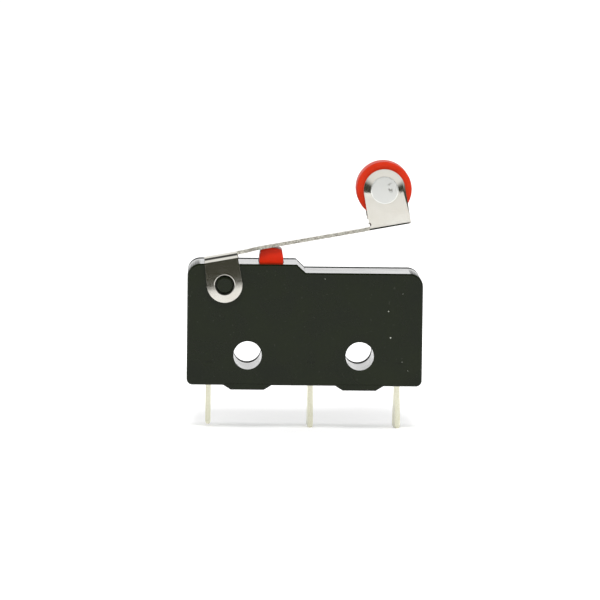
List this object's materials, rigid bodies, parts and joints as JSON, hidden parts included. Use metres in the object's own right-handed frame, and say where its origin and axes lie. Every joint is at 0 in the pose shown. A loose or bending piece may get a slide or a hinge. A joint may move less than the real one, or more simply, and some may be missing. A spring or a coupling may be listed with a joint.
{
  "type": "lever micro switch",
  "caption": "Subminiature snap-action switch with a hinged roller lever, a plunger, mounting holes and straight solder pins.",
  "frame": {"origin": "centre of the left mounting hole, halfway through the housing", "axes": "+X along the housing to the roller end, +Y out of the cover on the back, +Z from the pins to the lever"},
  "size_m": [0.02, 0.0074, 0.0229],
  "materials": {
    "housing_plastic": "moulded, faintly textured",
    "cover_plastic": "moulded, faintly textured",
    "plunger_plastic": "moulded, satin",
    "roller_plastic": "moulded, semi-gloss",
    "terminal_tin": "stamped brass, bright tin plate",
    "contact_silver": "headed silver alloy",
    "spring_copper": "rolled and stamped copper alloy",
    "lever_steel": "stamped stainless sheet, satin",
    "rivet_steel": "headed and polished"
  },
  "bodies": {
    "housing": {"case": "housing_plastic", "cover": "cover_plastic", "com_terminal": "terminal_tin", "no_terminal": "terminal_tin", "nc_terminal": "terminal_tin", "no_contact": "contact_silver", "nc_contact": "contact_silver"},
    "plunger": {"plunger": "plunger_plastic"},
    "spring": {"snap_spring": "spring_copper", "moving_contact": "contact_silver"},
    "lever": {"lever": "lever_steel", "roller_rivet": "rivet_steel"},
    "roller": {"roller": "roller_plastic"}
  },
  "joints": [
    {"name": "lever_hinge", "type": "hinge", "parent": "housing", "child": "lever", "pos_m": [-0.002, 0, 0.006], "axis": [0, 1, 0], "range_deg": [0, 13], "stiffness_Nm_per_rad": 0.024, "springref_deg": -4.76},
    {"name": "plunger_slide", "type": "slide", "parent": "housing", "child": "plunger", "axis": [0, 0, -1], "range_m": [0, 0.000911]},
    {"name": "contact_swing", "type": "hinge", "parent": "housing", "child": "spring", "pos_m": [-0.00343, 0, 0.00409], "axis": [0, 1, 0], "range_deg": [0, 1.9], "deforming": ["snap_spring"]},
    {"name": "roller_spin", "type": "hinge", "parent": "lever", "child": "roller", "pos_m": [0.01147, 0, 0.01406], "axis": [0, 1, 0], "continuous": true}
  ],
  "couplings": [
    {"joint": "plunger_slide", "follows": "lever_hinge", "m_per_rad": 0.004005},
    {"joint": "contact_swing", "follows": "lever_hinge", "ratio": 0.14615}
  ]
}
